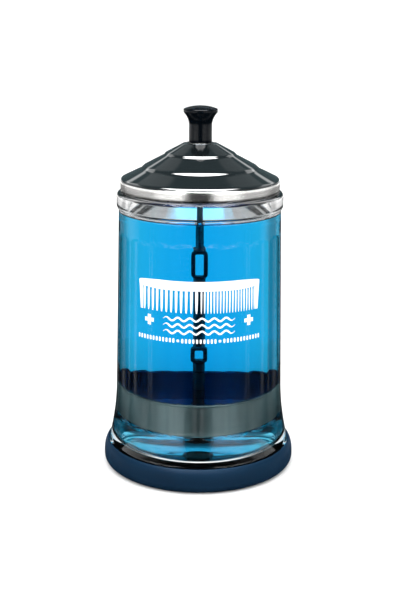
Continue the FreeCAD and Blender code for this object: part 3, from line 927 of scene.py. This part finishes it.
# Its colour is darkened far below bare steel: painted shade, for the shade round the foot of the knob.
bush_steel = brushed_steel("bush_steel", (0.05, 0.055, 0.06, 1), (0.12, 0.13, 0.14, 1),
                           1.0, 2200.0, 0.15, 0.3, 0.02 * mm)
settle(guide_bush, bush_steel, "lid", "bush_steel", "guide_bush")

# Knob. Black moulded plastic, flared like a trumpet so that wet fingers can lift it. A brass
# insert inside it takes the thread of the rod.

knob_low, knob_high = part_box("knob")
stem = 6.5 * mm
head = knob_high.x - 0.01 * mm
stem_top = knob_low.z + 10.1 * mm
head_low = stem_top + 6.4 * mm
bore_top = knob_low.z + 12.2 * mm
knob = Section(0, bore_top)
knob.line(3.2 * mm, bore_top)
knob.line(3.2 * mm, knob_low.z)
knob.bend((stem - 0.4 * mm, knob_low.z + 0.4 * mm), 0.4 * mm, -90, 0, 5)
knob.line(stem, stem_top, 6)
knob.sweep((stem, stem_top + 3.2 * mm), (head - 0.15 * mm, head_low), 14)
knob.bend((head - 0.4 * mm, head_low + 0.4 * mm), 0.4 * mm, -30, 0, 3)
knob.bend((head - 0.8 * mm, head_low + 1.35 * mm), 0.8 * mm, 0, 72, 7)
knob.sweep((knob.points[-1][0] * 0.55, knob_high.z), (0, knob_high.z), 10)
knob_piece = turn_piece("knob_moulded", knob, slices=96)
settle(knob_piece, black, "lift", "black_plastic", "knob")

insert_low, insert_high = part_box("knob_insert")
insert_bore = 1.76 * mm
insert_radius = insert_high.x - 0.02 * mm
insert = Section(insert_bore, insert_low.z)
insert.line(insert_high.x - 0.3 * mm, insert_low.z)
insert.line(insert_radius, insert_low.z + 0.3 * mm)
grooves = 6
for groove in range(1, grooves):
    middle = insert_low.z + (insert_high.z - insert_low.z) * groove / grooves
    insert.line(insert_radius, middle - 0.35 * mm)
    insert.bend((insert_radius, middle), 0.3 * mm, 270, 90, 4)
insert.line(insert_radius, insert_high.z - 0.3 * mm)
insert.line(insert_high.x - 0.3 * mm, insert_high.z)
insert.line(insert_bore, insert_high.z)
knob_insert = turn_piece("knob_insert_brass", insert, slices=48)
brass = brushed_steel("turned_brass", (0.45, 0.31, 0.12, 1), (0.72, 0.53, 0.25, 1),
                      0.0, 2400.0, 0.2, 0.35, 0.02 * mm)
settle(knob_insert, brass, "lift", "brass_insert", "knob_insert")

# Studio. A pale floor under soft light, and a camera a little above the lid. The walls of the
# studio are light boxes left and right with a dark gap between them, which polished steel shows.

floor_mesh = bpy.data.meshes.new("studio_floor")
floor_half = 6.0
floor_mesh.from_pydata([(x * floor_half, y * floor_half, 0) for x, y in
                        ((-1, -1), (1, -1), (1, 1), (-1, 1))], [], [(0, 1, 2, 3)])
floor = bpy.data.objects.new("studio_floor", floor_mesh)
bpy.context.scene.collection.objects.link(floor)
floor.visible_glossy = False
floor.visible_transmission = False
floor_mesh.materials.append(new_material("pale_paper", Roughness=0.9, Specular_IOR_Level=0.1,
                                         Base_Color=(0.9, 0.9, 0.9, 1))[0])


def soft_light(name, place, size, power):
    data = bpy.data.lights.new(name, "AREA")
    data.size = size
    data.energy = power
    lamp = bpy.data.objects.new(name, data)
    lamp.location = place
    lamp.rotation_euler = (lit_point - Vector(place)).to_track_quat("-Z", "Y").to_euler()
    bpy.context.scene.collection.objects.link(lamp)
    lamp.visible_glossy = False
    lamp.visible_transmission = False
    return lamp


lit_point = Vector((0, 0, 0.1))
soft_light("top_box", (0.0, -0.1, 1.3), 1.6, 12)
soft_light("left_box", (-1.1, -0.7, 0.7), 0.9, 6)
soft_light("right_box", (1.1, -0.6, 0.6), 0.9, 5)

world = bpy.data.worlds.new("studio_world")
bpy.context.scene.world = world
world.use_nodes = True
tree = world.node_tree
backdrop = tree.nodes["Background"]
ways = add_node(tree, "ShaderNodeTexCoord")
sides = add_node(tree, "ShaderNodeSeparateXYZ", {0: ways.outputs["Generated"]})
to_front = calc(tree, "MULTIPLY", sides.outputs[1], -1.0)
azimuth = calc(tree, "ARCTAN2", sides.outputs[0], to_front)
degree = math.radians(1)


def light_ramp(value, first, last, stops):
    """The light at each value, from a list of (value, light) stops."""
    ramp = add_node(tree, "ShaderNodeValToRGB", {"Fac": remap(tree, value, first, last)})
    marks = ramp.color_ramp.elements
    marks.remove(marks[-1])
    for number, (at, light) in enumerate(stops):
        position = (at - first) / (last - first)
        stop = marks[0] if number == 0 else marks.new(position)
        stop.position = position
        stop.color = (light, light, light, 1)
    return ramp.outputs[0]


boxes = light_ramp(azimuth, -180 * degree, 180 * degree, [(at * degree, light) for at, light in (
    (-180, 1.1), (-152, 1.0), (-146, 0.5), (-138, 0.5), (-133, 1.0), (-124, 1.0),
    (-116, 1.1), (-70, 1.2), (-63, 2.2), (-26, 2.5), (-17, 0.10), (14, 0.07),
    (25, 2.2), (56, 2.1), (64, 1.1), (102, 1.1), (125, 0.6), (136, 0.5), (146, 1.0), (180, 1.1))])


def window(value, low, high, soft):
    """1 between two limits and 0 outside them, with a soft edge."""
    rise = remap(tree, value, low - soft, low + soft, curve="SMOOTHSTEP")
    drop = remap(tree, value, high - soft, high + soft, 1.0, 0.0, "SMOOTHSTEP")
    return calc(tree, "MULTIPLY", rise, drop)


# Above the horizon the room is dark but for its lights: a big box overhead, a thin strip behind
# the jar, a broad one under it that only lights through the glass, and faint boxes at the sides.
# Each has its limits across, towards the back and up, and its light.
east, north, height = sides.outputs[0], sides.outputs[1], sides.outputs[2]
rays = add_node(tree, "ShaderNodeLightPath")
mirrored = calc(tree, "SUBTRACT", rays.outputs["Is Glossy Ray"], rays.outputs["Is Transmission Ray"],
                clamp=True)
overhead_mirrored, overhead_through, behind_through = 20.0, 3.0, 1.1
overhead = calc(tree, "MULTIPLY_ADD", mirrored, overhead_mirrored - overhead_through, overhead_through)
behind = calc(tree, "MULTIPLY_ADD", mirrored, -behind_through, behind_through)
side_soft, level_soft = 0.03, 0.02
upper = None
for across, back, up, light in (((-0.5, 0.5), (-0.78, 0.12), (0.3, 1.1), overhead),
                                ((-0.6, 0.6), (0.5, 1.1), (0.38, 0.45), 0.9),
                                ((-0.8, 0.8), (0.4, 1.1), (0.10, 0.30), behind),
                                ((-0.9, -0.45), (0.2, 0.8), (0.3, 0.62), 0.9),
                                ((0.45, 0.9), (0.2, 0.8), (0.3, 0.62), 0.9),
                                ((-0.5, -0.14), (0.45, 0.85), (0.55, 0.8), 0.14),
                                ((0.14, 0.5), (0.45, 0.85), (0.55, 0.8), 0.10)):
    patch = calc(tree, "MULTIPLY", window(east, *across, side_soft), window(north, *back, side_soft))
    patch = calc(tree, "MULTIPLY", patch, window(height, *up, level_soft))
    lit = calc(tree, "MULTIPLY", patch, light)
    upper = lit if upper is None else calc(tree, "ADD", upper, lit)
dark = mix(tree, 1.0, (0.08, 0.115, 0.125, 1), upper, "ADD")
over = remap(tree, height, -0.03, 0.04, curve="SMOOTHSTEP")
# Below the horizon the light falls off towards the floor. It does so sooner in front, where the
# room is dark just under the lid's height, and soonest for plain reflections.
fall_back = light_ramp(height, -1, 0, ((-0.9, 2.6), (-0.7, 0.9), (-0.44, 0.16), (-0.31, 1.0)))
fall_front = light_ramp(height, -1, 0, ((-0.36, 0.42), (-0.32, 0.02), (-0.15, 0.02), (-0.13, 1.0)))
fall_mirrored = light_ramp(height, -1, 0, ((-0.152, 0.02), (-0.14, 2.2), (-0.05, 2.2), (-0.03, 0.4)))
in_front = remap(tree, north, 0.45, 0.15)
fall = mix(tree, mirrored, mix(tree, in_front, fall_back, fall_front), fall_mirrored)
room = mix(tree, over, mix(tree, 1.0, boxes, fall, "MULTIPLY"), dark)
plain_rays = calc(tree, "MAXIMUM", rays.outputs["Is Camera Ray"], rays.outputs["Is Diffuse Ray"])
tree.links.new(mix(tree, plain_rays, room, (1.15, 1.15, 1.15, 1)), backdrop.inputs["Color"])
world.cycles.sampling_method = "NONE"

camera_data = bpy.data.cameras.new("camera")
camera = bpy.data.objects.new("camera", camera_data)
bpy.context.scene.collection.objects.link(camera)
bpy.context.scene.camera = camera
camera_data.lens = 67.14
camera.location = (0.0007, -0.6252, 0.2630)
looks_down, leans = 14.92, 0.43
tilt = Matrix.Rotation(math.radians(90 - looks_down), 3, "X")
roll = Matrix.Rotation(math.radians(leans), 3, "Z")
camera.rotation_euler = (tilt @ roll).to_euler()
bpy.context.scene.view_settings.view_transform = "Standard"
